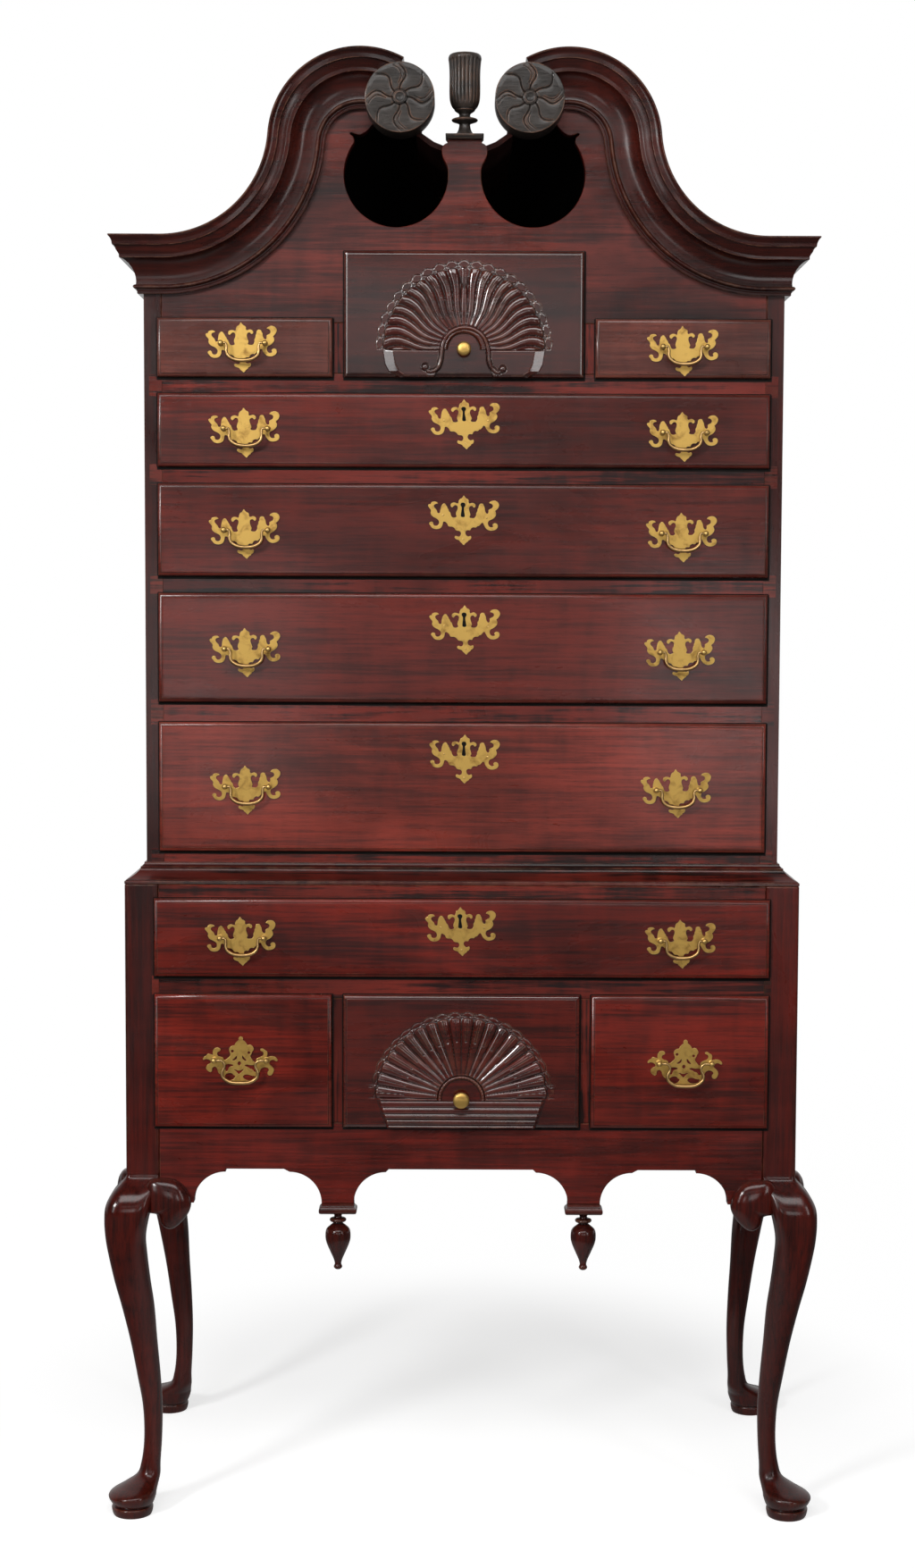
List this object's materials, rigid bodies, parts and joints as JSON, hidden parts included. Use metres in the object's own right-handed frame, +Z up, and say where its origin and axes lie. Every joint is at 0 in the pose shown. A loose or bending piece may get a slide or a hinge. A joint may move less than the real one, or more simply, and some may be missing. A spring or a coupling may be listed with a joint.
{
  "type": "highboy",
  "caption": "Tall chest of drawers on cabriole legs, with a scrolled bonnet top, carved shell drawers and brass bail pulls.",
  "frame": {"origin": "centre of the footprint, on the floor", "axes": "+Z up, -Y out of the drawer fronts, +X to the right seen from the front"},
  "size_m": [1.069, 0.5588, 2.1852],
  "materials": {
    "case_wood": "satin",
    "drawer_wood": "satin",
    "dark_wood": "satin",
    "back_wood": "matte",
    "brass": "satin",
    "bail_brass": "satin"
  },
  "bodies": {
    "case": {"leg_front_left": "case_wood", "leg_front_right": "case_wood", "leg_back_left": "case_wood", "leg_back_right": "case_wood", "lower_carcase": "case_wood", "apron": "case_wood", "lower_back": "back_wood", "waist_moulding": "case_wood", "drop_left": "dark_wood", "drop_right": "dark_wood", "upper_carcase": "case_wood", "upper_back": "back_wood", "tympanum": "case_wood", "crown_left": "case_wood", "crown_right": "case_wood", "rosette_left": "dark_wood", "rosette_right": "dark_wood", "finial": "dark_wood", "bonnet": "case_wood"},
    "bail_lower_long_left": {"bail_lower_long_left": "bail_brass"},
    "bail_lower_long_right": {"bail_lower_long_right": "bail_brass"},
    "drawer_lower_long": {"drawer_lower_long": "drawer_wood", "plate_lower_long_left": "brass", "plate_lower_long_right": "brass"},
    "bail_lower_left": {"bail_lower_left": "bail_brass"},
    "drawer_lower_left": {"drawer_lower_left": "drawer_wood", "plate_lower_left": "brass"},
    "bail_lower_right": {"bail_lower_right": "bail_brass"},
    "drawer_lower_right": {"drawer_lower_right": "drawer_wood", "plate_lower_right": "brass"},
    "drawer_lower_shell": {"drawer_lower_shell": "drawer_wood", "knob_lower_shell": "brass"},
    "bail_upper_fourth_left": {"bail_upper_fourth_left": "bail_brass"},
    "bail_upper_fourth_right": {"bail_upper_fourth_right": "bail_brass"},
    "drawer_upper_fourth": {"drawer_upper_fourth": "drawer_wood", "plate_upper_fourth_left": "brass", "plate_upper_fourth_right": "brass"},
    "bail_upper_third_left": {"bail_upper_third_left": "bail_brass"},
    "bail_upper_third_right": {"bail_upper_third_right": "bail_brass"},
    "drawer_upper_third": {"drawer_upper_third": "drawer_wood", "plate_upper_third_left": "brass", "plate_upper_third_right": "brass"},
    "bail_upper_second_left": {"bail_upper_second_left": "bail_brass"},
    "bail_upper_second_right": {"bail_upper_second_right": "bail_brass"},
    "drawer_upper_second": {"drawer_upper_second": "drawer_wood", "plate_upper_second_left": "brass", "plate_upper_second_right": "brass"},
    "bail_upper_first_left": {"bail_upper_first_left": "bail_brass"},
    "bail_upper_first_right": {"bail_upper_first_right": "bail_brass"},
    "drawer_upper_first": {"drawer_upper_first": "drawer_wood", "plate_upper_first_left": "brass", "plate_upper_first_right": "brass"},
    "bail_top_left": {"bail_top_left": "bail_brass"},
    "drawer_top_left": {"drawer_top_left": "drawer_wood", "plate_top_left": "brass"},
    "bail_top_right": {"bail_top_right": "bail_brass"},
    "drawer_top_right": {"drawer_top_right": "drawer_wood", "plate_top_right": "brass"},
    "drawer_top_shell": {"drawer_top_shell": "drawer_wood", "knob_top_shell": "brass"}
  },
  "joints": [
    {"name": "bail_lower_long_left_swing", "type": "hinge", "parent": "drawer_lower_long", "child": "bail_lower_long_left", "pos_m": [-0.32632, -0.2698, 0.88372], "axis": [-1, 0, 0], "range_deg": [-15, 95]},
    {"name": "bail_lower_long_right_swing", "type": "hinge", "parent": "drawer_lower_long", "child": "bail_lower_long_right", "pos_m": [0.32768, -0.2698, 0.88182], "axis": [-1, 0, 0], "range_deg": [-15, 95]},
    {"name": "drawer_lower_long_slide", "type": "slide", "parent": "case", "child": "drawer_lower_long", "axis": [0, -1, 0], "range_m": [0, 0.35]},
    {"name": "bail_lower_left_swing", "type": "hinge", "parent": "drawer_lower_left", "child": "bail_lower_left", "pos_m": [-0.32947, -0.2698, 0.7003], "axis": [-1, 0, 0], "range_deg": [-12, 95]},
    {"name": "drawer_lower_left_slide", "type": "slide", "parent": "case", "child": "drawer_lower_left", "axis": [0, -1, 0], "range_m": [0, 0.35]},
    {"name": "bail_lower_right_swing", "type": "hinge", "parent": "drawer_lower_right", "child": "bail_lower_right", "pos_m": [0.3339, -0.2698, 0.69766], "axis": [-1, 0, 0], "range_deg": [-12, 95]},
    {"name": "drawer_lower_right_slide", "type": "slide", "parent": "case", "child": "drawer_lower_right", "axis": [0, -1, 0], "range_m": [0, 0.35]},
    {"name": "drawer_lower_shell_slide", "type": "slide", "parent": "case", "child": "drawer_lower_shell", "axis": [0, -1, 0], "range_m": [0, 0.35]},
    {"name": "bail_upper_fourth_left_swing", "type": "hinge", "parent": "drawer_upper_fourth", "child": "bail_upper_fourth_left", "pos_m": [-0.32095, -0.24, 1.107], "axis": [-1, 0, 0], "range_deg": [-15, 95]},
    {"name": "bail_upper_fourth_right_swing", "type": "hinge", "parent": "drawer_upper_fourth", "child": "bail_upper_fourth_right", "pos_m": [0.32139, -0.24, 1.10373], "axis": [-1, 0, 0], "range_deg": [-15, 95]},
    {"name": "drawer_upper_fourth_slide", "type": "slide", "parent": "case", "child": "drawer_upper_fourth", "axis": [0, -1, 0], "range_m": [0, 0.33]},
    {"name": "bail_upper_third_left_swing", "type": "hinge", "parent": "drawer_upper_third", "child": "bail_upper_third_left", "pos_m": [-0.32095, -0.24, 1.31175], "axis": [-1, 0, 0], "range_deg": [-15, 95]},
    {"name": "bail_upper_third_right_swing", "type": "hinge", "parent": "drawer_upper_third", "child": "bail_upper_third_right", "pos_m": [0.32497, -0.24, 1.3089], "axis": [-1, 0, 0], "range_deg": [-15, 95]},
    {"name": "drawer_upper_third_slide", "type": "slide", "parent": "case", "child": "drawer_upper_third", "axis": [0, -1, 0], "range_m": [0, 0.33]},
    {"name": "bail_upper_second_left_swing", "type": "hinge", "parent": "drawer_upper_second", "child": "bail_upper_second_left", "pos_m": [-0.32139, -0.24, 1.48715], "axis": [-1, 0, 0], "range_deg": [-15, 95]},
    {"name": "bail_upper_second_right_swing", "type": "hinge", "parent": "drawer_upper_second", "child": "bail_upper_second_right", "pos_m": [0.32586, -0.24, 1.48429], "axis": [-1, 0, 0], "range_deg": [-15, 95]},
    {"name": "drawer_upper_second_slide", "type": "slide", "parent": "case", "child": "drawer_upper_second", "axis": [0, -1, 0], "range_m": [0, 0.33]},
    {"name": "bail_upper_first_left_swing", "type": "hinge", "parent": "drawer_upper_first", "child": "bail_upper_first_left", "pos_m": [-0.32139, -0.24, 1.63596], "axis": [-1, 0, 0], "range_deg": [-15, 95]},
    {"name": "bail_upper_first_right_swing", "type": "hinge", "parent": "drawer_upper_first", "child": "bail_upper_first_right", "pos_m": [0.32586, -0.24, 1.63221], "axis": [-1, 0, 0], "range_deg": [-15, 95]},
    {"name": "drawer_upper_first_slide", "type": "slide", "parent": "case", "child": "drawer_upper_first", "axis": [0, -1, 0], "range_m": [0, 0.33]},
    {"name": "bail_top_left_swing", "type": "hinge", "parent": "drawer_top_left", "child": "bail_top_left", "pos_m": [-0.32511, -0.24, 1.76059], "axis": [-1, 0, 0], "range_deg": [-15, 95]},
    {"name": "drawer_top_left_slide", "type": "slide", "parent": "case", "child": "drawer_top_left", "axis": [0, -1, 0], "range_m": [0, 0.33]},
    {"name": "bail_top_right_swing", "type": "hinge", "parent": "drawer_top_right", "child": "bail_top_right", "pos_m": [0.32486, -0.24, 1.75739], "axis": [-1, 0, 0], "range_deg": [-15, 95]},
    {"name": "drawer_top_right_slide", "type": "slide", "parent": "case", "child": "drawer_top_right", "axis": [0, -1, 0], "range_m": [0, 0.33]},
    {"name": "drawer_top_shell_slide", "type": "slide", "parent": "case", "child": "drawer_top_shell", "axis": [0, -1, 0], "range_m": [0, 0.33]}
  ]
}
